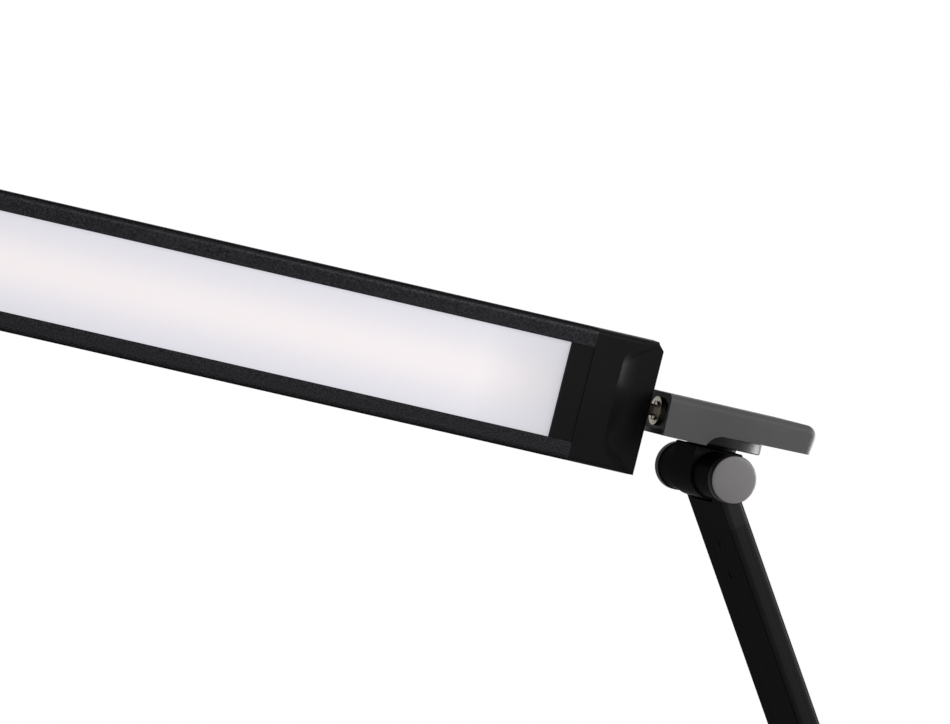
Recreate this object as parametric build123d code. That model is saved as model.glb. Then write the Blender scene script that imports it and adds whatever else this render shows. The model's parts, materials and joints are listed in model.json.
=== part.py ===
from build123d import *
import os
from math import cos, radians, sin

# Folding LED desk lamp. Millimetres, +Z up, X towards the foot of the arm, the light's
# free end towards -X. The origin is the middle of the base's underside.
#
# Four friction joints run from base to light: the arm tilts on the base, the yoke tilts
# on the arm, the neck swivels on the yoke and the head rolls about its own length.

# ---- driving dimensions ------------------------------------------------------------
# pose of the joints as modelled, degrees
ARM_LEAN = 20.4        # arm from the vertical, leaning towards the light
NECK_RISE = 14.15      # neck and head above the horizontal
HEAD_ROLL = 87.57      # light face turned from straight down towards -Y

# base
BASE_L, BASE_W, BASE_H = 200.0, 130.0, 19.0
BASE_R = 17.0          # corner radius in plan
BASE_WALL = 2.4
PAD_T = 1.5            # anti-slip pad
PLATE_T = 6.0          # steel weight
POST_X = 62.0          # lower hinge axis
POST_Z = 33.0
KEY_X = -58.0          # row of keys across the base
KEY_PITCH = 22.0
KEY_R = 7.0
KEY_TRAVEL = 0.8
JACK_Z = 11.5          # power inlet in the rear wall

# hinges, the same at both ends of the arm
HUB_R = 10.0           # end caps
BOSS_R = 9.6           # fork bosses behind the caps
BOSS_END = 27.6        # where the caps start, from the middle
CAP_T = 4.1
EYE_R = 10.5           # yoke and post, round about the hinge axis
EYE_NEAR, EYE_FAR = 9.5, 12.9     # their faces, towards -Y and +Y
EAR_GAP = 0.3
THROAT_R = 11.6        # fork's throat
BOLT_R = 4.0
RUN_FIT = 0.05         # radial clearance of a turning fit

# arm
ARM_L = 340.0          # between hinge axes
ARM_W, ARM_T = 40.0, 9.0
ARM_R = 2.2            # rounding of its long edges
ARM_WALL = 1.3
FORK_SEAM = 21.8       # hinge axis to the end of the tube

# neck, from the upper hinge axis; heights are square to its length
NECK_W = 40.0
NECK_LEFT, NECK_RIGHT = -30.2, 35.7
NECK_TOP = 28.4
NECK_DEEP, NECK_SHALLOW = 11.05, 16.05   # underside at the light's end and past the notch
NECK_WALL = 2.2
NECK_EDGE = 3.0        # rounding of the lid's edges
DISC_R = 20.0          # swivel disc under the neck
DISC_Z = 11.7
ROLL_Z = 20.2          # head's roll axis

# head
HEAD_L, HEAD_W, HEAD_T = 340.0, 55.6, 10.5
HEAD_START = 32.0      # hinge end of the head, from the upper hinge axis
HEAD_SET = 1.8         # roll axis lies this far behind the middle of the thickness
LIP = 7.9              # lips that hold the diffuser
CAP_L = 31.3           # visible length of the hinge-end cap
TONGUE = 41.2          # its tongue between the lips reaches this far
FREE_L = 11.0
SCOOP_D = 3.6          # scoop in the hinge-end cap
SKIN = 1.8             # extrusion wall

# ---- frames ------------------------------------------------------------------------
LOWER = Location((POST_X, 0, POST_Z))
ARM = LOWER * Rot(0, -ARM_LEAN, 0)                      # local Z runs up the arm
HINGE_X = POST_X - ARM_L * sin(radians(ARM_LEAN))
HINGE_Z = POST_Z + ARM_L * cos(radians(ARM_LEAN))
NECK = Location((HINGE_X, 0, HINGE_Z)) * Rot(0, NECK_RISE, 0)   # local -X runs along the neck
HEAD = NECK * Pos(-HEAD_START, 0, ROLL_Z) * Rot(-HEAD_ROLL, 0, 0) * Pos(0, 0, -HEAD_SET)


# ---- small shapes ------------------------------------------------------------------
def rod(axis, r, a, b, at=(0, 0)):
    """Cylinder of radius r along an axis from a to b; at = the two other coordinates."""
    u, v = at
    body = extrude(Circle(r), b - a)
    if axis == "x":
        return Pos(a, u, v) * Rot(0, 90, 0) * body
    if axis == "y":
        return Pos(u, a, v) * Rot(-90, 0, 0) * body
    return Pos(u, v, a) * body


def ring(axis, r, bore, a, b, at=(0, 0)):
    return rod(axis, r, a, b, at) - rod(axis, bore, a - 1, b + 1, at)


def block(x0, x1, y0, y1, z0, z1):
    return Pos((x0 + x1) / 2, (y0 + y1) / 2, (z0 + z1) / 2) * Box(x1 - x0, y1 - y0, z1 - z0)


def slab(length, width, r, z0, z1):
    """Flat plate with rounded corners in plan."""
    return Pos(0, 0, z0) * extrude(RectangleRounded(length, width, r), z1 - z0)


def hexagon(axis, flats, a, b, at=(0, 0)):
    u, v = at
    body = extrude(RegularPolygon(flats / 2, 6, major_radius=False), b - a)
    if axis == "x":
        return Pos(a, u, v) * Rot(0, 90, 0) * body
    if axis == "y":
        return Pos(u, a, v) * Rot(-90, 0, 0) * body
    return Pos(u, v, a) * body


def csk_screw(axis, r, head_r, a, b, at=(0, 0)):
    """Countersunk screw, its head's face at a and its tip at b."""
    u, v = at
    depth, way = head_r - r, (1 if b > a else -1)
    half = make_face(Polyline((0, 0), (head_r, 0), (r, depth), (r, abs(b - a)), (0, abs(b - a)),
                              close=True))
    body = revolve(Plane.XZ * half, Axis.Z)
    if axis == "x":
        return Pos(a, u, v) * Rot(0, 90 * way, 0) * body
    if axis == "y":
        return Pos(u, a, v) * Rot(-90 * way, 0, 0) * body
    return Pos(u, v, a) * (body if way > 0 else Rot(180, 0, 0) * body)


def edges_along(part, axis, test):
    return [e for e in part.edges().filter_by(axis) if test(e.center())]


# ---- base --------------------------------------------------------------------------
PLATE_TOP = PAD_T + PLATE_T
SCREWS = [(x, y) for x in (-80, 80) for y in (-45, 45)]
KEYS = [(KEY_X, (i - 1.5) * KEY_PITCH) for i in range(4)]


def base_parts():
    pad = slab(BASE_L - 16, BASE_W - 16, BASE_R - 8, 0, PAD_T)

    plate = slab(BASE_L - 6, BASE_W - 6, BASE_R - 3, PAD_T, PLATE_TOP)
    plate = chamfer(plate.faces().sort_by(Axis.Z)[0].edges(), 0.8)
    for x, y in SCREWS:
        plate -= csk_screw("z", 1.75, 3.6, PAD_T, PLATE_TOP + 1, (x, y))
    for x in (-6, 6):
        plate -= csk_screw("z", 2.3, 4.6, PAD_T, PLATE_TOP + 1, (POST_X + x, 1.7))

    # moulded shell: soft top edge, thin skirt that hangs over the weight
    shell = slab(BASE_L, BASE_W, BASE_R, 3, BASE_H)
    shell = fillet(shell.faces().sort_by(Axis.Z)[-1].edges(), 5.0)
    inner = slab(BASE_L - 2 * BASE_WALL, BASE_W - 2 * BASE_WALL, BASE_R - BASE_WALL, 2,
                 BASE_H - BASE_WALL)
    inner = fillet(inner.faces().sort_by(Axis.Z)[-1].edges(), 3.0)
    shell -= inner
    for x, y in SCREWS:
        shell += ring("z", 4.0, 1.5, PLATE_TOP, BASE_H - 1.5, (x, y))
    # slot that the hinge post rises through, and a shallow dish for the keys
    shell -= block(POST_X - EYE_R - EAR_GAP, POST_X + EYE_R + EAR_GAP,
                   -EYE_NEAR - EAR_GAP, EYE_FAR + EAR_GAP, 10, BASE_H + 1)
    dish = Pos(KEY_X, 0, BASE_H - 0.7) * extrude(SlotCenterToCenter(3 * KEY_PITCH, 22), 2, taper=-20)
    shell -= Pos(KEY_X, 0, 0) * Rot(0, 0, 90) * Pos(-KEY_X, 0, 0) * dish
    for key in KEYS:
        shell -= rod("z", KEY_R + 0.3, 10, BASE_H + 1, key)
    shell -= rod("x", 4.1, BASE_L / 2 - 6, BASE_L / 2 + 1, (0, JACK_Z))

    # hinge post: flat-sided, round about the hinge axis, bolted to the weight
    post = extrude(Plane.XZ * (Pos(0, (POST_Z + PLATE_TOP) / 2) * Rectangle(2 * EYE_R, POST_Z - PLATE_TOP)
                               + Pos(0, POST_Z) * Circle(EYE_R)), EYE_NEAR + EYE_FAR)
    post = Pos(POST_X, EYE_FAR, 0) * post
    post -= rod("y", BOLT_R + RUN_FIT, -20, 20, (POST_X, POST_Z))
    for x in (-6, 6):
        post -= rod("z", 2.0, PLATE_TOP - 1, PLATE_TOP + 10, (POST_X + x, 1.7))

    board = block(KEY_X - 11, KEY_X + 11, -42, 42, 9.0, 10.6)
    for side in (-38, 38):
        board -= rod("z", 1.6, 8, 12, (KEY_X, side))
    stands = [ring("z", 3.0, 1.2, PLATE_TOP, 9.0, (KEY_X, side)) for side in (-38, 38)]
    switches = [block(x - 3, x + 3, y - 3, y + 3, 10.6, 13.2) + rod("z", 1.75, 13.2, 13.9, (x, y))
                for x, y in KEYS]

    # inlet: square body behind the wall, round mouth with its centre pin
    jack = block(BASE_L / 2 - 15, BASE_L / 2 - BASE_WALL - 0.4, -4.5, 4.5, PLATE_TOP, 14.8)
    jack += rod("x", 4.0, BASE_L / 2 - 3, BASE_L / 2 - 0.2, (0, JACK_Z))
    jack -= rod("x", 2.8, BASE_L / 2 - 11.5, BASE_L / 2 + 1, (0, JACK_Z))
    jack += rod("x", 1.0, BASE_L / 2 - 12, BASE_L / 2 - 1.5, (0, JACK_Z))

    screws = [csk_screw("z", 1.5, 3.3, PAD_T + 0.1, PLATE_TOP + 7, at) for at in SCREWS]
    posts = [csk_screw("z", 2.0, 4.3, PAD_T + 0.1, PLATE_TOP + 9, (POST_X + x, 1.7)) for x in (-6, 6)]
    return {"base_pad": pad, "weight_plate": plate, "base_shell": shell, "hinge_post": post,
            "control_board": board, "board_stands": stands, "tact_switches": switches,
            "power_inlet": jack, "base_screws": screws, "post_screws": posts}


def key_part(at):
    """Push key: dished cap with a rim that keeps it in the shell, and a stem to its switch."""
    x, y = at
    top = BASE_H + 0.3
    key = rod("z", KEY_R, BASE_H - 3.0, top, at)
    key = fillet(key.faces().sort_by(Axis.Z)[-1].edges(), 0.6)
    key -= Pos(x, y, top + 23.6) * Sphere(24.0)
    key += rod("z", KEY_R + 1.2, BASE_H - 3.5, BASE_H - 2.5, at)
    return key + rod("z", 1.6, 14.75, BASE_H - 3.5, at)


# ---- arm ---------------------------------------------------------------------------
def fork():
    """Hinge fork about its own axis, arm towards +Z: two ears, a boss outside each and a
    tongue that plugs into the tube. The ear towards +Y is the thick one."""
    near, far = EYE_NEAR + EAR_GAP, EYE_FAR + EAR_GAP
    body = block(-ARM_T / 2, ARM_T / 2, -ARM_W / 2, ARM_W / 2, 0, FORK_SEAM)
    body = fillet(body.edges().filter_by(Axis.Z), ARM_R)
    body += rod("y", BOSS_R, -BOSS_END, BOSS_END)
    corners = edges_along(body, Axis.Y, lambda c: 5 < c.Z < 15 and abs(abs(c.X) - ARM_T / 2) < 0.5)
    body = fillet(corners, 2.0)
    inner_t, inner_w = ARM_T - 2 * ARM_WALL - 0.2, ARM_W - 2 * ARM_WALL - 0.2
    body += Pos(0, 0, FORK_SEAM - 1) * extrude(RectangleRounded(inner_t, inner_w, 0.9), 32)
    # throat, round about the axis and open away from the arm
    body -= rod("y", THROAT_R, -far, near)
    body -= block(-20, 20, -far, near, -20, 0)
    # seats for the bolt's head and for its springs and nut
    body -= rod("y", 7.6, -BOSS_END - 1, -far - 4.0)
    body -= rod("y", 7.6, near + 4.6, BOSS_END + 1)
    body -= rod("y", BOLT_R + 0.02, -BOSS_END, BOSS_END)
    for z in (30, 44):
        body -= rod("x", 1.5, -10, 10, (0, z))
    return body


def hinge_set():
    """Everything on a hinge axis that turns with the fork, in the fork's frame."""
    near, far = EYE_NEAR + EAR_GAP + 4.6, EYE_FAR + EAR_GAP + 4.0
    bolt = rod("y", BOLT_R, -far - 0.1, near + 8.6) + hexagon("y", 13, -far - 5.1, -far)
    nut = hexagon("y", 13, near + 2.2, near + 8.2) - rod("y", BOLT_R, near, near + 10)
    springs = [ring("y", 7.0, 4.1, near, near + 1.1), ring("y", 7.0, 4.1, near + 1.1, near + 2.2)]
    caps = []
    for side in (1, -1):
        half = make_face(Polyline((0, 0), (7.5, 0), (7.5, 3.0), (HUB_R, 3.0), (HUB_R, 3.0 + CAP_T - 0.6),
                                  (HUB_R - 0.6, 3.0 + CAP_T), (0, 3.0 + CAP_T + 0.25), close=True))
        bore = make_face(Polyline((0, -1), (6.0, -1), (6.0, 2.6), (0, 2.6), close=True))
        cap = revolve(Plane.XZ * (half - bore), Axis.Z)
        caps.append(Pos(0, side * (BOSS_END - 3.0), 0) * Rot(-90 * side, 0, 0) * cap)
    return {"hinge_bolts": [bolt], "hinge_nuts": [nut], "disc_springs": springs, "hinge_caps": caps}


def arm_parts():
    lower, upper = Rot(0, 0, 180), Pos(0, 0, ARM_L) * Rot(180, 0, 0)
    outer = RectangleRounded(ARM_T, ARM_W, ARM_R)
    inner = RectangleRounded(ARM_T - 2 * ARM_WALL, ARM_W - 2 * ARM_WALL, 0.9)
    tube = Pos(0, 0, FORK_SEAM) * extrude(outer - inner, ARM_L - 2 * FORK_SEAM)
    holes = [30, 44, ARM_L - 44, ARM_L - 30]
    for z in holes:
        tube -= rod("x", 1.5, -10, 0, (0, z))
    pins = [rod("x", 1.45, -ARM_T / 2 + 0.2, ARM_T / 2 - ARM_WALL - 0.1, (0, z)) for z in holes]
    parts = {"arm_tube": ARM * tube, "fork_lower": ARM * lower * fork(),
             "fork_upper": ARM * upper * fork(), "fork_pins": [ARM * p for p in pins]}
    for name, solids in hinge_set().items():
        parts[name] = [ARM * end * s for end in (lower, upper) for s in solids]
    return parts


# ---- yoke and neck -----------------------------------------------------------------
def yoke_parts():
    side = Pos(0, EYE_R / 2) * Rectangle(2 * EYE_R, EYE_R) + Circle(EYE_R)
    yoke = Pos(0, EYE_FAR, 0) * extrude(Plane.XZ * side, EYE_NEAR + EYE_FAR)
    yoke = fillet(yoke.faces().sort_by(Axis.Z)[-1].edges(), 0.7)
    yoke -= rod("y", BOLT_R + RUN_FIT, -20, 20)
    yoke -= rod("z", 4.0, 5.0, EYE_R + 1)
    stud = rod("z", 4.0, 5.0, 22.6)
    stud = chamfer(stud.faces().sort_by(Axis.Z)[-1].edges(), 0.6)
    thrust = ring("z", 9.0, 4.0, EYE_R, DISC_Z - 0.02)
    washer = ring("z", 7.6, 4.0, NECK_SHALLOW + 0.02, NECK_SHALLOW + 1.2)
    nut = hexagon("z", 13, NECK_SHALLOW + 1.2, NECK_SHALLOW + 5.6) - rod("z", 4.0, 10, 30)
    parts = {"yoke": yoke, "swivel_stud": stud, "thrust_washer": thrust,
             "swivel_washer": washer, "swivel_nut": nut}
    return {name: NECK * p for name, p in parts.items()}


def neck_profile(grow=0.0):
    """Side view of the neck: deep at the light's end, a round notch over the disc, and a
    shallow tail that thins towards a leaning end."""
    top, right = NECK_TOP - grow, NECK_RIGHT - grow
    arc_r = 8.16
    cx, cz = -3.2, NECK_SHALLOW - arc_r
    mid = (cx + arc_r * cos(radians(123.4)), cz + arc_r * sin(radians(123.4)))
    lines = Polyline((-10.7, NECK_DEEP), (NECK_LEFT, NECK_DEEP), (NECK_LEFT, top), (right + 1.5, top),
                     (right, 16.65), (cx, NECK_SHALLOW))
    arc = ThreePointArc((cx, NECK_SHALLOW), mid, (-10.7, NECK_DEEP))
    return make_face(Curve() + lines + arc)


def neck_parts():
    half = NECK_W / 2
    outer = Pos(0, half, 0) * extrude(Plane.XZ * neck_profile(), NECK_W)
    tip = edges_along(outer, Axis.Y, lambda c: c.X > 30 and c.Z > 25)
    outer = fillet(tip, 4.5)
    # lid edges: along both sides of the top, round the tip and down the leaning end
    lid = [e for e in outer.edges() if abs(abs(e.center().Y) - half) < 0.01
           and (e.center().Z > NECK_TOP - 5 or e.center().X > NECK_RIGHT - 1)
           and e.center().X > NECK_LEFT + 0.5]
    outer = fillet(lid, NECK_EDGE)

    inside = half - NECK_WALL
    hollow = block(NECK_LEFT - 1, NECK_RIGHT - 2.0, -inside, inside, 5, NECK_TOP - NECK_WALL)
    hollow = fillet(hollow.edges().filter_by(Axis.X).group_by(Axis.Z)[-1], 1.2)
    disc_room = rod("z", DISC_R + 0.15, 5, NECK_SHALLOW)
    shell = outer - hollow - disc_room
    for y in (-12, 12):
        shell += ring("z", 3.2, 1.2, 18.3, NECK_TOP - 1, (27, y))

    # floor: tray between the shell's walls with the roll bearing's wall at its deep end
    tray = Pos(0, inside - 0.1, 0) * extrude(Plane.XZ * neck_profile(), 2 * inside - 0.2)
    room = block(NECK_LEFT + 0.4, NECK_RIGHT - 2.1, -inside + 0.1, inside - 0.1, 5,
                 NECK_TOP - NECK_WALL - 0.1)
    tray &= fillet(room.edges().filter_by(Axis.X).group_by(Axis.Z)[-1], 1.2)
    tray -= block(-24.4, 40, -half, half, 18.2, 40)
    tray -= block(NECK_LEFT - 1, -26.7, -half, half, 13.25, 40)
    tray -= block(-24.4, -20.9, -6.5, 6.5, 14.4, 40)
    tray -= disc_room
    tray -= rod("x", 2.5 + RUN_FIT, -30, -20, (0, ROLL_Z))
    tray -= rod("x", 2.2, -30, -20, (-9.5, 22.4))
    tray -= rod("z", 9.0, 10, 30)
    for y in (-12, 12):
        tray -= csk_screw("z", 1.6, 3.0, 16.4, 19, (27, y))
    for k in range(3):
        at = (14 * cos(radians(60 + 120 * k)), 14 * sin(radians(60 + 120 * k)))
        tray -= rod("z", 1.25, 15, 19, at)

    disc = rod("z", DISC_R, DISC_Z, NECK_SHALLOW) - rod("z", 4.0 + RUN_FIT, 10, 20)
    disc = chamfer(disc.faces().sort_by(Axis.Z)[0].edges().sort_by(SortBy.LENGTH)[-1], 0.5)
    screws = []
    for k in range(3):
        at = (14 * cos(radians(60 + 120 * k)), 14 * sin(radians(60 + 120 * k)))
        disc -= csk_screw("z", 1.35, 2.7, DISC_Z, 17, at)
        screws.append(csk_screw("z", 1.25, 2.5, DISC_Z + 0.1, 18.0, at))
    lids = [csk_screw("z", 1.2, 2.5, 16.75, 24, (27, y)) for y in (-12, 12)]
    parts = {"neck_shell": shell, "neck_floor": tray, "swivel_disc": disc}
    parts = {name: NECK * p for name, p in parts.items()}
    parts["disc_screws"] = [NECK * s for s in screws]
    parts["neck_screws"] = [NECK * s for s in lids]
    return parts


# ---- head --------------------------------------------------------------------------
HALF_W, HALF_T = HEAD_W / 2, HEAD_T / 2


def bar(x0, x1):
    """Length of the head's outer section: soft edges by the light, tighter ones behind."""
    body = block(x0, x1, -HALF_W, HALF_W, -HALF_T, HALF_T)
    body = fillet(edges_along(body, Axis.X, lambda c: c.Z < 0), 2.4)
    return fillet(edges_along(body, Axis.X, lambda c: c.Z > 0), 1.4)


def head_extrusion():
    """Aluminium section: lips over the diffuser, rails behind it, ribs along the back."""
    x0, x1 = -HEAD_L + FREE_L, -CAP_L
    body = bar(x0, x1)
    body -= block(x0 - 1, x1 + 1, -HALF_W + SKIN, HALF_W - SKIN, -HALF_T + 1.6, HALF_T - SKIN)
    body -= block(x0 - 1, x1 + 1, -HALF_W + LIP, HALF_W - LIP, -HALF_T - 1, 0)
    for side in (-1, 1):
        y = sorted((side * (HALF_W - SKIN), side * (HALF_W - SKIN - 1.4)))
        body += block(x0, x1, y[0], y[1], -HALF_T + 3.25, -HALF_T + 4.15)
    for k in range(9):
        y = (k - 4) * 5.2
        body -= block(x0 - 1, x1 + 1, y - 0.8, y + 0.8, HALF_T - 0.6, HALF_T + 1)
    return body


def scoop():
    """Hollow cut into the hinge-end cap: a straight ramp that flares to both edges and
    runs out at the end, so that the cap thins to a plate there."""
    rim = [(-18.0, 16.0), (-17.9, 18.4), (-16.6, 20.8), (-14.1, 23.3), (-10.8, 26.0), (-7.0, 30.0)]
    outline = [(6, 36)] + [(x, y) for x, y in reversed(rim)] + [(x, -y) for x, y in rim] + [(6, -36)]
    face = make_face(Polyline(*outline, close=True))
    cut = Pos(0, 0, -HALF_T) * extrude(face, SCOOP_D, taper=50)
    top = Pos(0, 0, -HALF_T - 2) * extrude(face, 2)
    floor = cut.faces().sort_by(Axis.Z)[-1]
    ramp = [e for e in floor.edges() if e.center().X < -9 and e.length > 20]
    return fillet(ramp, 5.0) + top


def hinge_end_cap():
    cap = bar(-CAP_L, 0)
    # the upper corner is cut off at the end, the lower one is square
    cap -= Pos(0, -HALF_W, 0) * extrude(Plane.XY.offset(-20) * make_face(
        Polyline((-3.4, 0), (0, 3.7), (2, 5.9), (2, -2), (-5.4, -2), close=True)), 40)
    cap -= scoop()
    inner_w = HALF_W - SKIN - 0.1
    plug = block(-TONGUE - 4, -CAP_L, -inner_w, inner_w, -HALF_T + 4.25, HALF_T - SKIN - 0.1)
    plug -= block(-TONGUE - 5, -TONGUE + 4, -9, 9, -9, 9)
    tongue = block(-TONGUE, -CAP_L, -HALF_W + LIP + 0.12, HALF_W - LIP - 0.12, -HALF_T + 0.25, 0)
    cap += plug + tongue
    cap -= rod("x", 2.5, -30, 1, (0, HEAD_SET))          # seat of the pivot shaft
    cap -= block(-30, -16, -9, 9, HALF_T - 7.2, HALF_T - 1.6)
    cap -= block(-TONGUE - 5, -29, -7, 7, -0.4, HALF_T - SKIN - 0.2)
    for y in (-16, 16):
        cap -= rod("z", 1.2, -0.5, 6, (-38, y))
    return cap


def free_end_cap():
    cap = bar(-HEAD_L, -HEAD_L + FREE_L)
    ends = edges_along(cap, Axis.Z, lambda c: c.X < -HEAD_L + 1)
    cap = fillet(ends, 4.0)
    inner_w = HALF_W - SKIN - 0.1
    x0 = -HEAD_L + FREE_L
    cap += block(x0, x0 + 10, -inner_w, inner_w, -HALF_T + 4.25, HALF_T - SKIN - 0.1)
    for y in (-16, 16):
        cap -= rod("z", 1.2, -0.5, 6, (x0 + 5, y))
    return cap


def head_parts():
    body = head_extrusion()
    x_free = -HEAD_L + FREE_L
    screws = []
    for x in (-38, x_free + 5):
        for y in (-16, 16):
            body -= csk_screw("z", 1.35, 2.6, HALF_T, HALF_T - 4, (x, y))
            screws.append(csk_screw("z", 1.15, 2.4, HALF_T - 0.1, 0.2, (x, y)))
    half = HALF_W - SKIN - 0.4
    diffuser = block(x_free + 0.3, -TONGUE - 0.2, -half, half, -HALF_T + 1.65, -HALF_T + 3.2)
    strip = block(x_free + 11, -TONGUE - 6, -6, 6, HALF_T - SKIN - 1.05, HALF_T - SKIN - 0.05)
    count = 24
    pitch = (HEAD_L - FREE_L - TONGUE - 30) / (count - 1)
    chips = [block(x - 1.4, x + 1.4, -1.75, 1.75, HALF_T - SKIN - 1.75, HALF_T - SKIN - 1.05)
             for x in (-TONGUE - 12 - k * pitch for k in range(count))]

    # roll pivot, in the neck's frame: hollow shaft from the cap through the neck's wall, with
    # a washer and a slotted ring on the light's side of the wall and a washer and nut inside
    axis = (0, ROLL_Z)
    shaft = ring("x", 2.5, 1.5, -HEAD_START - 16, -20.9, axis)
    washer = ring("x", 6.0, 2.5, -28.0, -26.74, axis)
    slotted = ring("x", 4.0, 2.5, -28.9, -28.0, axis)
    for turn in (0, 90):
        slot = Rot(turn, 0, 0) * block(-29.5, -28.45, -5, 5, -0.55, 0.55)
        slotted -= Pos(0, 0, ROLL_Z) * slot
    lock = ring("x", 5.0, 2.5, -24.36, -23.56, axis)
    nut = hexagon("x", 8, -23.56, -21.1, axis) - rod("x", 2.5, -25, -20, axis)
    parts = {"head_extrusion": HEAD * body, "hinge_end_cap": HEAD * hinge_end_cap(),
             "free_end_cap": HEAD * free_end_cap(), "diffuser": HEAD * diffuser,
             "led_strip": HEAD * strip, "led_chips": [HEAD * c for c in chips],
             "cap_screws": [HEAD * s for s in screws], "pivot_shaft": NECK * shaft,
             "pivot_washer": NECK * washer, "pivot_ring": NECK * slotted,
             "lock_washer": NECK * lock, "lock_nut": NECK * nut}
    return parts


# ---- write one file per node ---------------------------------------------------------
parts = {}
parts.update(base_parts())
for name, at in zip(("key_power", "key_mode", "key_dim", "key_bright"), KEYS):
    parts[name] = key_part(at)
parts.update(arm_parts())
parts.update(yoke_parts())
parts.update(neck_parts())
parts.update(head_parts())

os.makedirs("parts", exist_ok=True)
for name, shape in parts.items():
    if isinstance(shape, list):
        shape = Compound(children=[s if isinstance(s, Solid) else s.solid() for s in shape])
    export_step(shape, f"parts/{name}.step")
print(f"{len(parts)} nodes; upper hinge at x {HINGE_X:.3f}, z {HINGE_Z:.3f}")
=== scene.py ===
import bmesh
import bpy
import json
from math import cos, radians, sin
from mathutils import Matrix, Vector


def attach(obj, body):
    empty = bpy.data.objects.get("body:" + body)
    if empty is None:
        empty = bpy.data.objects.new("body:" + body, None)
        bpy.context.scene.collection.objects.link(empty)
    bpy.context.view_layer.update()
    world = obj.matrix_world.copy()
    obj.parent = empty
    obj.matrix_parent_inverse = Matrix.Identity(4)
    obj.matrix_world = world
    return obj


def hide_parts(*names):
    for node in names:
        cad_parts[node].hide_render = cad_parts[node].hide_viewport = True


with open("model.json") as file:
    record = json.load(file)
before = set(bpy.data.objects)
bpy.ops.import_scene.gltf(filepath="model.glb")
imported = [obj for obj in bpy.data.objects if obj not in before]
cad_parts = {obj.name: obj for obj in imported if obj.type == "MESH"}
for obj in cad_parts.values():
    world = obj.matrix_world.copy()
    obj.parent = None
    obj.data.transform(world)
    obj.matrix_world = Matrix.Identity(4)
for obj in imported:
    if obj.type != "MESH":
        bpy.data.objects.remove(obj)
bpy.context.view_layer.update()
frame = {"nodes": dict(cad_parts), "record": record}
MM = 0.001


# ---- where the lamp's joints are, as the solids have them ------------------------------
ARM_LEAN, NECK_RISE, HEAD_ROLL = radians(20.4), radians(14.15), radians(87.57)
ARM_LENGTH = 340    # hinge to hinge, in millimetres
FOOT_HINGE = Vector((62, 0, 33)) * MM
HEAD_HINGE = FOOT_HINGE + Vector((-sin(ARM_LEAN), 0, cos(ARM_LEAN))) * (ARM_LENGTH * MM)
ROLL_PIVOT = Vector((-32, 0, 20.2)) * MM
HEAD_OFF_AXIS = Vector((0, 0, -1.8)) * MM


def placed(origin, *turns):
    """Frame at an origin, turned by each (axis, angle) in order."""
    place = Matrix.Translation(origin)
    for axis, angle in turns:
        place = place @ Matrix.Rotation(angle, 4, axis)
    return place


ARM = placed(FOOT_HINGE, ("Y", -ARM_LEAN))
NECK = placed(HEAD_HINGE, ("Y", NECK_RISE))
HEAD = NECK @ placed(ROLL_PIVOT, ("X", -HEAD_ROLL)) @ placed(HEAD_OFF_AXIS)


# ---- finishes ------------------------------------------------------------------------
def colour(code):
    """sRGB hex to the linear colour that the shader takes."""
    parts = [int(code[i:i + 2], 16) / 255 for i in (1, 3, 5)]
    return tuple(c / 12.92 if c <= 0.04045 else ((c + 0.055) / 1.055) ** 2.4 for c in parts) + (1.0,)


def add_node(owner, kind, inputs=None, **settings):
    """Node in a material or world; an input is a value, or another node's socket to link."""
    node = owner.node_tree.nodes.new(kind)
    for name, value in settings.items():
        setattr(node, name, value)
    for name, value in (inputs or {}).items():
        socket = node.inputs[name]
        if isinstance(value, bpy.types.NodeSocket):
            owner.node_tree.links.new(value, socket)
        else:
            socket.default_value = value
    return node


def link(owner, out, into):
    owner.node_tree.links.new(out, into)


def noise(owner, place, scale, detail, roughness=0.5):
    """Soft noise from 0 to 1, with scale cells per unit of its place."""
    return add_node(owner, "ShaderNodeTexNoise", {"Vector": place, "Scale": scale, "Detail": detail,
                                                  "Roughness": roughness}).outputs["Fac"]


def mapped(owner, value, low, high, to_low=0.0, to_high=1.0, interpolation="LINEAR"):
    """Value between low and high, mapped onto another range and held at its ends."""
    return add_node(owner, "ShaderNodeMapRange",
                    {"Value": value, "From Min": low, "From Max": high, "To Min": to_low, "To Max": to_high},
                    interpolation_type=interpolation).outputs["Result"]


def mixed(owner, amount, first, second):
    """Colour between two colours, by an amount from 0 to 1."""
    return add_node(owner, "ShaderNodeMix", {0: amount, 6: first, 7: second}, data_type="RGBA").outputs[2]


def new_finish(name, roughness, **shader_inputs):
    """A material with a Principled shader; returns it with its shader and object coordinates."""
    material = bpy.data.materials.new(name)
    material.use_nodes = True
    shader = material.node_tree.nodes["Principled BSDF"]
    shader.inputs["Roughness"].default_value = roughness
    for socket, value in shader_inputs.items():
        shader.inputs[socket.replace("_", " ")].default_value = value
    place = add_node(material, "ShaderNodeTexCoord").outputs["Object"]
    return material, shader, place


def relieved(material, shader, height, strength, depth):
    """Relief on a shader's surface; its depth is in millimetres."""
    relief = add_node(material, "ShaderNodeBump",
                      {"Height": height, "Strength": strength, "Distance": depth * MM})
    link(material, relief.outputs["Normal"], shader.inputs["Normal"])


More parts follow.
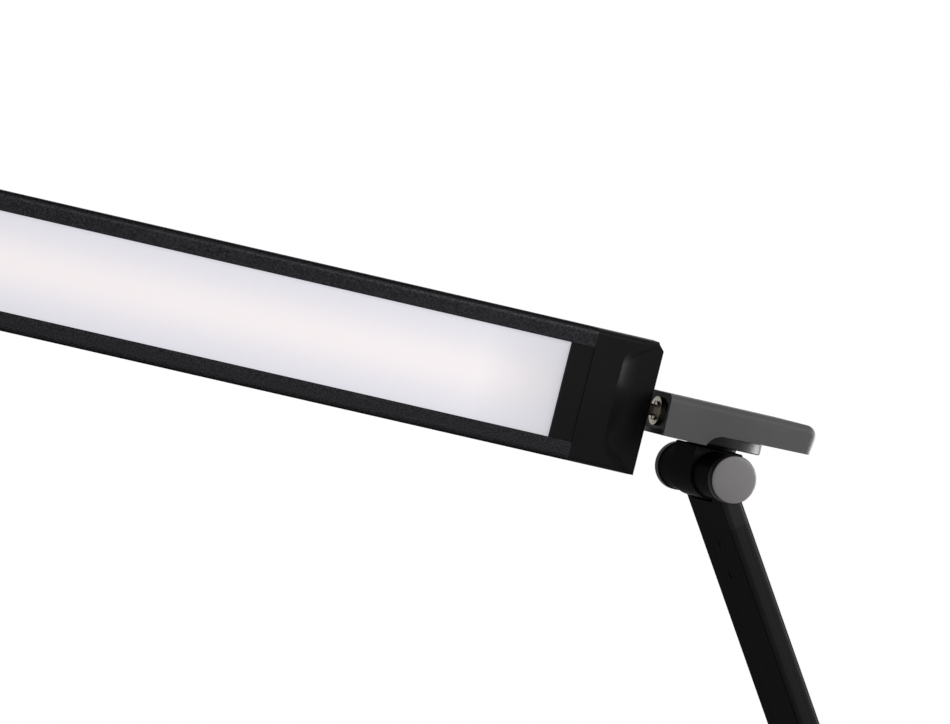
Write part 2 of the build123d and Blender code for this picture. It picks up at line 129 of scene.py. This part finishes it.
def grained_plastic(name, tone, worn, roughness, specular, spark_mm=0.45, depth=0.02, reflection_shade=0.0):
    """Plastic from a spark-eroded mould, or a coating with the same look: a fine, even grain
    that breaks the sheen, and a faint change of tone over the hand-sized areas that get
    touched. With reflection_shade above 0 it becomes a dark metal with a nearly black edge
    tint, which is painted shade: its reflections at low angles stay dark, though the surroundings are white."""
    touched_per_metre = 45.0
    # Metallic and the darkened specular tint paint shade into the reflections at low angles
    material, shader, place = new_finish(name, roughness, Specular_IOR_Level=specular, IOR=1.54,
                                         Metallic=reflection_shade, Specular_Tint=(1 - reflection_shade,) * 3 + (1.0,))
    grain = noise(material, place, 1 / (spark_mm * MM), 3.0, 0.6)
    touch = noise(material, place, touched_per_metre, 2.0)
    link(material, mixed(material, touch, colour(tone), colour(worn)), shader.inputs["Base Color"])
    sheen = mapped(material, grain, 0.3, 0.7, roughness - 0.05, roughness + 0.07)
    link(material, sheen, shader.inputs["Roughness"])
    relieved(material, shader, grain, 0.35, depth)
    return material


def anodised_extrusion(name, tone, bright, roughness, specular, along, grit_mm=0.35, depth=0.03):
    """Extruded aluminium, bead-blasted and black anodised: pin-point grain from the beads and
    very faint die lines that run the length of the bar. The black edge tint of the metal is
    painted shade: it keeps the reflections at low angles dark, though the surroundings are white."""
    die_lines_per_metre = (4, 900, 900)
    # Metallic with a black specular tint paints shade into the reflections at low angles
    material, shader, place = new_finish(name, roughness, Specular_IOR_Level=specular, Metallic=0.9,
                                         Specular_Tint=(0, 0, 0, 1))
    beads = noise(material, place, 1 / (grit_mm * MM), 2.0, 0.7)
    turned = add_node(material, "ShaderNodeMapping", {"Vector": place, "Rotation": along}).outputs[0]
    squeezed = add_node(material, "ShaderNodeMapping", {"Vector": turned, "Scale": die_lines_per_metre})
    lines = noise(material, squeezed.outputs[0], 1.0, 1.0)
    speck = mapped(material, beads, 0.35, 0.75)
    link(material, mixed(material, speck, colour(tone), colour(bright)), shader.inputs["Base Color"])
    sheen = mapped(material, lines, 0.3, 0.7, roughness - 0.04, roughness + 0.06)
    link(material, sheen, shader.inputs["Roughness"])
    relieved(material, shader, beads, 0.5, depth)
    return material


def plated_steel(name, tone, dull, roughness, tumble_mm=0.8, depth=0.01):
    """Barrel-plated steel: bright metal with the small soft dents of tumbling."""
    material, shader, place = new_finish(name, roughness, Metallic=1.0)
    dents = noise(material, place, 1 / (tumble_mm * MM), 3.0, 0.55)
    link(material, mixed(material, dents, colour(tone), colour(dull)), shader.inputs["Base Color"])
    sheen = mapped(material, dents, 0.3, 0.7, roughness - 0.06, roughness + 0.1)
    link(material, sheen, shader.inputs["Roughness"])
    relieved(material, shader, dents, 0.4, depth)
    return material


def opal_acrylic():
    """Opal diffuser lit from behind: near white, a warm band along the row of chips, a little
    lavender towards the lips and greyer at the hinge end, where the row stops."""
    half_width = 0.02
    full_at, dim_at = -0.078, -0.038
    material, shader, place = new_finish("opal_acrylic_lit", 0.35, Specular_IOR_Level=0.3)
    on_head = add_node(material, "ShaderNodeMapping",
                       {"Vector": place, "Location": HEAD.translation, "Rotation": HEAD.to_euler()},
                       vector_type="TEXTURE")
    axis = add_node(material, "ShaderNodeSeparateXYZ", {"Vector": on_head.outputs[0]}).outputs
    off = add_node(material, "ShaderNodeMath", {0: axis["Y"]}, operation="ABSOLUTE").outputs[0]
    to_lips = mapped(material, off, 0.0, half_width, interpolation="SMOOTHSTEP")
    across = mixed(material, to_lips, colour("#e0d9da"), colour("#cbcad2"))
    to_hinge = mapped(material, axis["X"], full_at, dim_at)
    shader.inputs["Base Color"].default_value = colour("#6a6a6c")
    shader.inputs["Emission Strength"].default_value = 1.0
    link(material, mixed(material, to_hinge, across, colour("#b6b5bb")), shader.inputs["Emission Color"])
    return material


def neoprene():
    """Moulded neoprene pad: matt, slightly dusty black with a pebbled grip."""
    pebble_mm, dust_per_metre = 1.6, 60.0
    material, shader, place = new_finish("neoprene_pebbled", 0.85, Specular_IOR_Level=0.25)
    pebbles = add_node(material, "ShaderNodeTexVoronoi", {"Vector": place, "Scale": 1 / (pebble_mm * MM)})
    dust = noise(material, place, dust_per_metre, 4.0)
    link(material, mixed(material, dust, colour("#161616"), colour("#26262a")), shader.inputs["Base Color"])
    relieved(material, shader, pebbles.outputs["Distance"], 0.6, 0.15)
    return material


def solder_mask():
    """White solder mask over glass-fibre board: glossy, with a faint weave under it."""
    weave_mm = 2.5
    material, shader, place = new_finish("white_solder_mask", 0.3, Specular_IOR_Level=0.5)
    weave = add_node(material, "ShaderNodeTexWave",
                     {"Vector": place, "Scale": 1 / (weave_mm * MM), "Distortion": 0.5}).outputs["Fac"]
    link(material, mixed(material, weave, colour("#dcdcd8"), colour("#e8e8e4")), shader.inputs["Base Color"])
    return material


# Turns that bring each bar's length onto X, along which the die lines run
along_head = tuple(HEAD.inverted().to_euler())
along_arm = tuple((Matrix.Rotation(radians(90), 4, "Y") @ ARM.inverted()).to_euler())
FINISH = {
    # The anodised finishes carry painted shade in their reflections at low angles, from their black edge tint
    "black_anodised": anodised_extrusion("aluminium_black_anodised", "#121213", "#303033", 0.42, 0.1,
                                         along_head, grit_mm=0.6),
    "arm_anodised": anodised_extrusion("aluminium_black_anodised_fine", "#161617", "#222223", 0.34, 0.05,
                                       along_arm, grit_mm=0.25, depth=0.012),
    "black_plastic": grained_plastic("abs_black_satin", "#0e0e0f", "#141415", 0.44, 0.03),
    "grey_plastic": grained_plastic("abs_graphite_satin", "#414142", "#4a4a4b", 0.48, 0.07),
    # Barrel-cap faces: the neck's grey plastic made lighter, which is painted light for how brightly the
    # domed faces are lit
    "cap_face_painted_lighter": grained_plastic("abs_grey_satin_painted_lighter", "#5c5a5a", "#686666", 0.36, 0.2),
    "dark_plastic": grained_plastic("abs_charcoal_satin", "#0e0e0f", "#141415", 0.4, 0.1),
    # Painted shade in the reflections at low angles for the fork and the yoke's coat, from a nearly black
    # edge tint
    "fork_black": grained_plastic("abs_glass_filled_black", "#1a1a1b", "#222223", 0.38, 0.05,
                                  reflection_shade=0.9),
    "black_casting": grained_plastic("zinc_black_powder_coat", "#161617", "#1e1e1f", 0.38, 0.05,
                                     spark_mm=0.6, depth=0.03, reflection_shade=0.9),
    "steel": plated_steel("steel_zinc_plated", "#b9bbbd", "#8f9294", 0.3),
    "nickel": plated_steel("steel_nickel_plated", "#a59f94", "#7a746a", 0.3, tumble_mm=1.2),
    "dark_steel": plated_steel("steel_black_oxide", "#232325", "#171719", 0.35),
    "diffuser": opal_acrylic(),
    "circuit_board": solder_mask(),
    "led": grained_plastic("phosphor_silicone", "#e9d774", "#f0e08a", 0.3, 0.5),
    "switch_plastic": grained_plastic("nylon_black", "#1a1a1a", "#222222", 0.5, 0.3),
    "key_plastic": grained_plastic("abs_key_satin", "#141415", "#1c1c1d", 0.4, 0.2),
    "key_ink": grained_plastic("pad_print_white", "#cfcfcc", "#dadad7", 0.55, 0.3),
    "inlet_plastic": grained_plastic("nylon_inlet_black", "#101010", "#181818", 0.5, 0.3),
    "rubber": neoprene(),
}
# Solids whose finish isn't the one of their material slot
DRESSED = {"arm_tube": "arm_anodised", "fork_upper": "fork_black", "fork_lower": "fork_black",
           "fork_pins": "arm_anodised", "pivot_shaft": "nickel"}
for part in frame["record"]["subparts"]:
    solid = frame["nodes"][part["node"]]
    solid.data.materials.clear()
    solid.data.materials.append(FINISH[DRESSED.get(part["node"], part["material_slot"])])


# ---- small pieces ----------------------------------------------------------------------
def alone(piece):
    """Select one piece only."""
    bpy.ops.object.select_all(action="DESELECT")
    piece.select_set(True)
    bpy.context.view_layer.objects.active = piece


def pick(piece, test):
    """In edit mode, select only the points that pass a test; it gets millimetres."""
    mesh = bmesh.from_edit_mesh(piece.data)
    for item in [*mesh.faces, *mesh.edges, *mesh.verts]:
        item.select = False
    for point in mesh.verts:
        if test(point.co / MM):
            point.select = True
    mesh.select_flush(True)
    bmesh.update_edit_mesh(piece.data)


def shaped(piece, kind, **settings):
    """Add a modifier and apply it."""
    modifier = piece.modifiers.new(kind.lower(), kind)
    for name, value in settings.items():
        setattr(modifier, name, value)
    alone(piece)
    bpy.ops.object.modifier_apply(modifier=modifier.name)


def recess_cutter(head_r, turn):
    """One wing of a cross recess: a bar that narrows towards its bottom."""
    size, bottom_taper = (head_r * 1.2, head_r * 0.3, head_r * 0.9), (0.5, 0.6, 1)
    bpy.ops.object.select_all(action="DESELECT")
    bpy.ops.mesh.primitive_cube_add(size=MM)
    cutter = bpy.context.object
    bpy.ops.object.mode_set(mode="EDIT")
    bpy.ops.transform.resize(value=size, center_override=(0, 0, 0))
    pick(cutter, lambda c: c.z < 0)
    bpy.ops.transform.resize(value=bottom_taper, center_override=(0, 0, 0))
    bpy.ops.mesh.select_all(action="SELECT")
    bpy.ops.transform.rotate(value=radians(turn), orient_axis="Z", center_override=(0, 0, 0))
    bpy.ops.object.mode_set(mode="OBJECT")
    return cutter


def cross_screw(head_r, shank_r, length):
    """Countersunk screw with a cross recess, its face up at the origin. Millimetres."""
    sink, spread, tip = head_r - shank_r, head_r / shank_r, 0.7
    bpy.ops.object.select_all(action="DESELECT")
    bpy.ops.mesh.primitive_cylinder_add(vertices=32, radius=shank_r * MM, depth=(length - sink) * MM)
    screw = bpy.context.object
    bpy.ops.object.mode_set(mode="EDIT")
    bpy.ops.transform.translate(value=(0, 0, -(length + sink) / 2 * MM))
    pick(screw, lambda c: c.z > -sink - 0.01)
    bpy.ops.mesh.extrude_region_move(TRANSFORM_OT_translate={"value": (0, 0, sink * MM)})
    bpy.ops.transform.resize(value=(spread, spread, 1), center_override=(0, 0, 0))
    pick(screw, lambda c: c.z < -length + 0.01)
    bpy.ops.transform.resize(value=(tip, tip, 1), center_override=(0, 0, -length * MM))
    bpy.ops.object.mode_set(mode="OBJECT")
    for turn in (20, 110):
        cutter = recess_cutter(head_r, turn)
        shaped(screw, "BOOLEAN", operation="DIFFERENCE", solver="EXACT", object=cutter)
        bpy.data.objects.remove(cutter)
    bpy.ops.object.shade_smooth_by_angle(angle=radians(35))
    return screw


def set_out(name, node, body, model, places, slot):
    """Copies of one model at each place, joined; they stand for a node's plainer solids."""
    if not model.data.materials:
        model.data.materials.append(FINISH[slot])
    copies = []
    for place in places:
        copy = model.copy()
        copy.data = model.data.copy()
        copy.data.transform(place)
        bpy.context.scene.collection.objects.link(copy)
        copies.append(copy)
    bpy.data.objects.remove(model)
    alone(copies[0])
    for copy in copies[1:]:
        copy.select_set(True)
    bpy.ops.object.join()
    piece = copies[0]
    piece.name = name
    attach(piece, body)
    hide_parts(node)


def at(body_frame, x, y, z, face_down=False):
    """Place on a body's frame, in millimetres, turned over where the piece faces down."""
    turn = Matrix.Rotation(radians(180), 4, "X") if face_down else Matrix.Identity(4)
    return body_frame @ Matrix.Translation(Vector((x, y, z)) * MM) @ turn


def bar_mark(length, width, middle=(0, 0), turn=0.0):
    """Flat bar, moved off the origin and then turned about it. Millimetres and degrees."""
    bpy.ops.object.select_all(action="DESELECT")
    bpy.ops.mesh.primitive_plane_add(size=MM)
    mark = bpy.context.object
    bpy.ops.object.mode_set(mode="EDIT")
    bpy.ops.transform.resize(value=(length, width, 1), center_override=(0, 0, 0))
    bpy.ops.transform.translate(value=(middle[0] * MM, middle[1] * MM, 0))
    bpy.ops.transform.rotate(value=radians(turn), orient_axis="Z", center_override=(0, 0, 0))
    bpy.ops.object.mode_set(mode="OBJECT")
    return mark


def ring_mark(radius, width, gap):
    """Flat ring, open at the top over the angle gap. Millimetres and degrees."""
    bpy.ops.object.select_all(action="DESELECT")
    bpy.ops.mesh.primitive_circle_add(vertices=72, radius=radius * MM, fill_type="NOTHING")
    mark = bpy.context.object
    bpy.ops.object.mode_set(mode="EDIT")
    if gap:
        pick(mark, lambda c: c.y > radius * cos(radians(gap / 2)))
        bpy.ops.mesh.delete(type="VERT")
    bpy.ops.mesh.select_all(action="SELECT")
    bpy.ops.mesh.extrude_region_move()
    inner = (radius - width) / radius
    bpy.ops.transform.resize(value=(inner, inner, 1), center_override=(0, 0, 0))
    bpy.ops.object.mode_set(mode="OBJECT")
    return mark


def plus_mark(length, width):
    """Flat plus sign: a grid of nine whose corners go. Millimetres."""
    bpy.ops.object.select_all(action="DESELECT")
    bpy.ops.mesh.primitive_grid_add(x_subdivisions=3, y_subdivisions=3, size=length * MM)
    mark = bpy.context.object
    bpy.ops.object.mode_set(mode="EDIT")
    slim = width * 3 / length
    pick(mark, lambda c: abs(c.x) < length / 3)
    bpy.ops.transform.resize(value=(slim, 1, 1), center_override=(0, 0, 0))
    pick(mark, lambda c: abs(c.y) < length / 3)
    bpy.ops.transform.resize(value=(1, slim, 1), center_override=(0, 0, 0))
    for x in (-1, 1):
        for y in (-1, 1):
            pick(mark, lambda c: c.x * x > length / 3 and c.y * y > length / 3)
            bpy.ops.mesh.delete(type="VERT")
    bpy.ops.object.mode_set(mode="OBJECT")
    return mark


def key_symbol(name, body, flats):
    """Raised symbol on a key's dished cap, upright to someone in front of the base."""
    thick, edge_round, row_x, dish_z = 0.22, 0.04, -58, 18.97
    alone(flats[0])
    for flat in flats[1:]:
        flat.select_set(True)
    bpy.ops.object.join()
    symbol = flats[0]
    symbol.name = name
    shaped(symbol, "SOLIDIFY", thickness=thick * MM, offset=0.0)
    shaped(symbol, "BEVEL", width=edge_round * MM, segments=2, limit_method="ANGLE")
    bpy.ops.object.mode_set(mode="EDIT")
    bpy.ops.mesh.select_all(action="SELECT")
    bpy.ops.mesh.normals_make_consistent(inside=False)
    bpy.ops.transform.rotate(value=radians(90), orient_axis="Z", center_override=(0, 0, 0))
    bpy.ops.transform.translate(value=(row_x * MM, KEY_Y[body] * MM, dish_z * MM))
    bpy.ops.object.mode_set(mode="OBJECT")
    symbol.data.materials.clear()
    symbol.data.materials.append(FINISH["key_ink"])
    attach(symbol, body)


def contact_pin():
    """Plated sleeve over the inlet's centre pin, rounded at its tip. Millimetres."""
    radius, length, middle = 1.12, 10.5, Vector((93.35, 0, 11.5)) * MM
    tip_steps = ((0.25, 0.85), (0.12, 0.6))
    bpy.ops.object.select_all(action="DESELECT")
    bpy.ops.mesh.primitive_cylinder_add(vertices=32, radius=radius * MM, depth=length * MM)
    pin = bpy.context.object
    bpy.ops.object.mode_set(mode="EDIT")
    pick(pin, lambda c: c.z > 0)
    for rise, taper in tip_steps:
        bpy.ops.mesh.extrude_region_move(TRANSFORM_OT_translate={"value": (0, 0, rise * MM)})
        bpy.ops.transform.resize(value=(taper, taper, 1), center_override=(0, 0, 0))
    bpy.ops.object.mode_set(mode="OBJECT")
    pin.data.transform(placed(middle, ("Y", radians(90))))
    bpy.ops.object.shade_smooth_by_angle(angle=radians(35))
    pin.name = "inlet_contact"
    pin.data.materials.clear()
    pin.data.materials.append(FINISH["steel"])
    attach(pin, "base")


def barrel_cap():
    """Round cap with a soft rim and a slightly domed face, its seat at the origin. Its rings
    are (radius, height) in millimetres: the rim's quarter round, then the dome."""
    reach, height, face_from = 10.0, 3.3, 3.9
    rings = ((9.9, 3.6), (9.68, 3.85), (9.35, 4.0), (8.9, 4.06), (7.5, 4.16), (5.0, 4.28), (2.5, 4.35))
    bpy.ops.object.select_all(action="DESELECT")
    bpy.ops.mesh.primitive_cylinder_add(vertices=96, radius=reach * MM, depth=height * MM,
                                        location=(0, 0, height / 2 * MM))
    cap = bpy.context.object
    bpy.ops.object.transform_apply()
    bpy.ops.object.mode_set(mode="EDIT")
    pick(cap, lambda c: c.z > height / 2)
    for r, z in rings:
        bpy.ops.mesh.extrude_region_move(TRANSFORM_OT_translate={"value": (0, 0, (z - height) * MM)})
        bpy.ops.transform.resize(value=(r / reach, r / reach, 1), center_override=(0, 0, 0))
        reach, height = r, z
    bpy.ops.object.mode_set(mode="OBJECT")
    # The face is grey plastic as on the neck, painted lighter for its brighter lit look; the rim stays black
    cap.data.materials.append(FINISH["cap_face_painted_lighter"])
    cap.data.materials.append(FINISH["black_plastic"])
    for face in cap.data.polygons:
        face.material_index = 0 if face.center.z > face_from * MM else 1
    bpy.ops.object.shade_smooth_by_angle(angle=radians(35))
    return cap


def friction_washer():
    """Wide black washer between the yoke and the swivel disc. Millimetres."""
    radius, width, thick, edge_round = 10.3, 6.2, 1.12, 0.15
    washer = ring_mark(radius, width, 0)
    shaped(washer, "SOLIDIFY", thickness=thick * MM, offset=0.0)
    shaped(washer, "BEVEL", width=edge_round * MM, segments=2, limit_method="ANGLE")
    bpy.ops.object.mode_set(mode="EDIT")
    bpy.ops.mesh.select_all(action="SELECT")
    bpy.ops.mesh.normals_make_consistent(inside=False)
    bpy.ops.object.mode_set(mode="OBJECT")
    bpy.ops.object.shade_smooth_by_angle(angle=radians(35))
    return washer


def stock(x0, x1, y0, y1, z0, z1):
    """Rectangular stock for a cut or a filling, left in edit mode. Millimetres."""
    bpy.ops.object.select_all(action="DESELECT")
    bpy.ops.mesh.primitive_cube_add(size=MM)
    piece = bpy.context.object
    bpy.ops.object.mode_set(mode="EDIT")
    bpy.ops.transform.resize(value=(x1 - x0, y1 - y0, z1 - z0), center_override=(0, 0, 0))
    middle = ((x0 + x1) / 2 * MM, (y0 + y1) / 2 * MM, (z0 + z1) / 2 * MM)
    bpy.ops.transform.translate(value=middle)
    return piece


def scoop_cutter():
    """Trough with a hollow ramp, closed at both sides by leaning walls that flare towards the
    cap's end and have round corners. Millimetres on the head, whose light faces -Z."""
    top, low, face, deep = -17.9, -9.2, -5.25, 3.6
    narrow, wide, wide_at = 19.7, 44.2, 12
    corner, lean, clear, past_end = 3.486, 4.6, 40, 6
    trough = stock(top, past_end, -clear, clear, face - 3, face)
    bpy.ops.mesh.select_all(action="SELECT")
    bpy.ops.mesh.subdivide(number_cuts=47)
    bpy.ops.object.mode_set(mode="OBJECT")
    reach = low - top
    bend = (reach ** 2 + deep ** 2) / (2 * deep)
    for point in trough.data.vertices:
        x, z = point.co.x / MM, point.co.z / MM
        if z > face - 0.01:
            off = min(x - low, 0.0)
            point.co.z = (face + deep - bend + (bend ** 2 - off ** 2) ** 0.5) * MM
    walls = stock(top, wide_at, -wide, wide, face - 2, face)
    pick(walls, lambda c: c.x < top + 1)
    bpy.ops.transform.resize(value=(1, narrow / wide, 1), center_override=(0, 0, 0))
    bpy.ops.mesh.select_mode(type="EDGE")
    for side in (1, -1):
        pick(walls, lambda c: c.x < top + 1 and c.y * side > narrow - 1)
        bpy.ops.mesh.bevel(offset=corner * MM, segments=8)
    bpy.ops.mesh.select_mode(type="FACE")
    pick(walls, lambda c: c.z > face - 0.01)
    bpy.ops.mesh.inset(thickness=lean * MM, depth=deep * MM)
    bpy.ops.mesh.select_mode(type="VERT")
    bpy.ops.object.mode_set(mode="OBJECT")
    shaped(trough, "BOOLEAN", operation="INTERSECT", solver="EXACT", object=walls)
    bpy.data.objects.remove(walls)
    return trough


def scoop_filling():
    """Fills the solid's plainer hollow, a hair inside the cap's own faces and its end chamfer."""
    inner, end, half, face, deep = -25, -0.01, 27.79, -5.24, -1.0
    edge_round = 2.4
    chamfer_at, chamfer_way = Vector((-3.41, -27.8, 0)) * MM, (3.7, -3.4, 0)
    filling = stock(inner, end, -half, half, face, deep)
    bpy.ops.mesh.select_mode(type="EDGE")
    for side in (-1, 1):
        pick(filling, lambda c: c.z < face + 0.1 and c.y * side > half - 0.1)
        bpy.ops.mesh.bevel(offset=edge_round * MM, segments=8)
    bpy.ops.mesh.select_mode(type="VERT")
    bpy.ops.mesh.select_all(action="SELECT")
    bpy.ops.mesh.bisect(plane_co=chamfer_at, plane_no=chamfer_way, clear_outer=True, use_fill=True)
    bpy.ops.object.mode_set(mode="OBJECT")
    return filling


def scooped_cap():
    """The head's hinge-end cap with its hollow recut: the solid's is filled, then the trough
    is taken out."""
    solid = frame["nodes"]["hinge_end_cap"]
    cap = solid.copy()
    cap.data = solid.data.copy()
    cap.data.transform(HEAD.inverted())
    cap.data.materials.clear()
    bpy.context.scene.collection.objects.link(cap)
    alone(cap)
    bpy.ops.object.mode_set(mode="EDIT")
    bpy.ops.mesh.select_all(action="SELECT")
    bpy.ops.mesh.remove_doubles(threshold=0.001 * MM)
    bpy.ops.mesh.customdata_custom_splitnormals_clear()
    bpy.ops.object.mode_set(mode="OBJECT")
    for operation, tool in (("UNION", scoop_filling()), ("DIFFERENCE", scoop_cutter())):
        shaped(cap, "BOOLEAN", operation=operation, solver="EXACT", object=tool)
        bpy.data.objects.remove(tool)
    bpy.ops.object.shade_smooth_by_angle(angle=radians(24))
    return cap


# Where repeated pieces sit on their bodies, as the solids have them, in millimetres
CAP_SCREWS = [at(HEAD, x, y, 5.15) for x in (-38, -324) for y in (-16, 16)]
DISC_SCREWS = [at(NECK, 14 * cos(radians(a)), 14 * sin(radians(a)), 11.8, True) for a in (60, 180, 300)]
NECK_SCREWS = [at(NECK, 27, y, 16.75, True) for y in (-12, 12)]
BARREL_ENDS = [ARM @ placed(Vector((0, side * 27.6, z)) * MM, ("X", radians(-90 * side)))
               for z in (0, ARM_LENGTH) for side in (-1, 1)]
KEY_Y = {"power_key": -33, "mode_key": -11, "dim_key": 11, "bright_key": 33}

set_out("scooped_end_cap", "hinge_end_cap", "head", scooped_cap(), [HEAD], "black_plastic")
set_out("friction_washer", "thrust_washer", "yoke", friction_washer(), [at(NECK, 0, 0, 11.09)],
        "black_plastic")
set_out("head_cap_screws", "cap_screws", "head", cross_screw(2.4, 1.15, 4.95), CAP_SCREWS, "dark_steel")
set_out("swivel_disc_screws", "disc_screws", "neck", cross_screw(2.5, 1.25, 6.2), DISC_SCREWS, "dark_steel")
set_out("neck_lid_screws", "neck_screws", "neck", cross_screw(2.5, 1.2, 7.25), NECK_SCREWS, "dark_steel")
set_out("barrel_caps", "hinge_caps", "arm", barrel_cap(), BARREL_ENDS, "grey_plastic")
key_symbol("symbol_power", "power_key", [ring_mark(2.6, 0.5, 60), bar_mark(0.5, 1.9, (0, 1.75))])
key_symbol("symbol_mode", "mode_key",
           [ring_mark(1.5, 0.45, 0)] + [bar_mark(0.75, 0.4, (2.3, 0), turn) for turn in range(0, 360, 60)])
key_symbol("symbol_dim", "dim_key", [bar_mark(4.4, 0.6)])
key_symbol("symbol_bright", "bright_key", [plus_mark(4.4, 0.6)])
contact_pin()


# ---- studio --------------------------------------------------------------------------
def seen_directly(owner):
    """1 for what shows straight, in a reflection or through something clear, else 0."""
    rays = add_node(owner, "ShaderNodeLightPath").outputs
    seen = rays["Is Camera Ray"]
    for ray in ("Is Glossy Ray", "Is Transmission Ray"):
        seen = add_node(owner, "ShaderNodeMath", {0: seen, 1: rays[ray]}, operation="MAXIMUM").outputs[0]
    return seen


def studio_floor():
    """Pale matt table that takes the shadow and fades into the white surroundings."""
    radius, under, fade_from, fade_to = 2.2, 0.0002, 0.2, 0.75
    bpy.ops.mesh.primitive_circle_add(vertices=96, radius=radius, fill_type="NGON", location=(0, 0, -under))
    floor = bpy.context.object
    floor.name = "studio_floor"
    material, shader, place = new_finish("floor_pale_matt", 0.9, Specular_IOR_Level=0.0)
    shader.inputs["Base Color"].default_value = colour("#f2f2f2")
    length = add_node(material, "ShaderNodeVectorMath", {0: place}, operation="LENGTH").outputs["Value"]
    fade = mapped(material, length, fade_from, fade_to, interpolation="SMOOTHSTEP")
    amount = add_node(material, "ShaderNodeMath", {0: fade, 1: seen_directly(material)}, operation="MULTIPLY")
    white = add_node(material, "ShaderNodeEmission", {"Color": (1, 1, 1, 1), "Strength": 1.0})
    mix = add_node(material, "ShaderNodeMixShader",
                   {0: amount.outputs[0], 1: shader.outputs[0], 2: white.outputs[0]})
    link(material, mix.outputs[0], material.node_tree.nodes["Material Output"].inputs["Surface"])
    floor.data.materials.append(material)


def surroundings():
    """White to the eye and in reflections, and a softer even light on the lamp."""
    at_horizon, overhead, overhead_from = 0.42, 0.14, 0.7
    world = bpy.data.worlds.new("white_surroundings")
    bpy.context.scene.world = world
    world.use_nodes = True
    way = add_node(world, "ShaderNodeTexCoord").outputs["Generated"]
    height = add_node(world, "ShaderNodeSeparateXYZ", {0: way}).outputs["Z"]
    ambient = world.node_tree.nodes["Background"]
    ambient.inputs["Color"].default_value = (1, 1, 1, 1)
    link(world, mapped(world, height, 0.0, overhead_from, at_horizon, overhead), ambient.inputs["Strength"])
    white = add_node(world, "ShaderNodeBackground", {"Color": (1, 1, 1, 1), "Strength": 1.0})
    mix = add_node(world, "ShaderNodeMixShader",
                   {0: seen_directly(world), 1: ambient.outputs[0], 2: white.outputs[0]})
    link(world, mix.outputs[0], world.node_tree.nodes["World Output"].inputs["Surface"])


def direction(azimuth, elevation):
    """Unit vector towards a place seen at these degrees; azimuth 0 is -Y and 90 is +X."""
    a, e = radians(azimuth), radians(elevation)
    return Vector((sin(a) * cos(e), -cos(a) * cos(e), sin(e)))


def softbox(name, azimuth, elevation, distance, size, power):
    """Area lamp aimed at the upper hinge. Degrees, metres and watts."""
    away = direction(azimuth, elevation)
    lamp = bpy.data.lights.new(name, "AREA")
    lamp.shape, lamp.size, lamp.size_y = "RECTANGLE", size[0], size[1]
    lamp.energy = power
    body = bpy.data.objects.new(name, lamp)
    body.location = HEAD_HINGE + away * distance
    body.rotation_euler = away.to_track_quat("Z", "Y").to_euler()
    bpy.context.scene.collection.objects.link(body)


def camera():
    """Long lens at the photograph's angle; the hinge lies right of the middle and below it."""
    azimuth, elevation, distance = -21.3, 5.8, 10.0
    wide_px, high_px, mm_per_px = 950, 724, 0.41
    hinge_px, sensor_mm = (705.4, 472.4), 36.0
    away = direction(azimuth, elevation)
    right = Vector((cos(radians(azimuth)), sin(radians(azimuth)), 0))
    up = away.cross(right)
    across, below = hinge_px[0] - wide_px / 2, hinge_px[1] - high_px / 2
    aim = HEAD_HINGE - right * across * mm_per_px * MM + up * below * mm_per_px * MM
    lens = bpy.data.cameras.new("product_view")
    lens.sensor_width = sensor_mm
    lens.lens = sensor_mm * distance / (wide_px * mm_per_px * MM)
    lens.clip_end = 60.0
    body = bpy.data.objects.new("product_view", lens)
    turned = Matrix((right, up, away)).transposed().to_4x4()
    body.matrix_world = Matrix.Translation(aim + away * distance) @ turned
    bpy.context.scene.collection.objects.link(body)
    bpy.context.scene.camera = body


studio_floor()
surroundings()
softbox("right_softbox", azimuth=74, elevation=6, distance=0.9, size=(0.5, 0.5), power=9)
softbox("low_right_strip", azimuth=102, elevation=-16, distance=0.6, size=(0.3, 0.34), power=6)
softbox("front_softbox", azimuth=34, elevation=16, distance=1.5, size=(0.5, 0.7), power=13)
camera()
bpy.context.scene.view_settings.view_transform = "Standard"
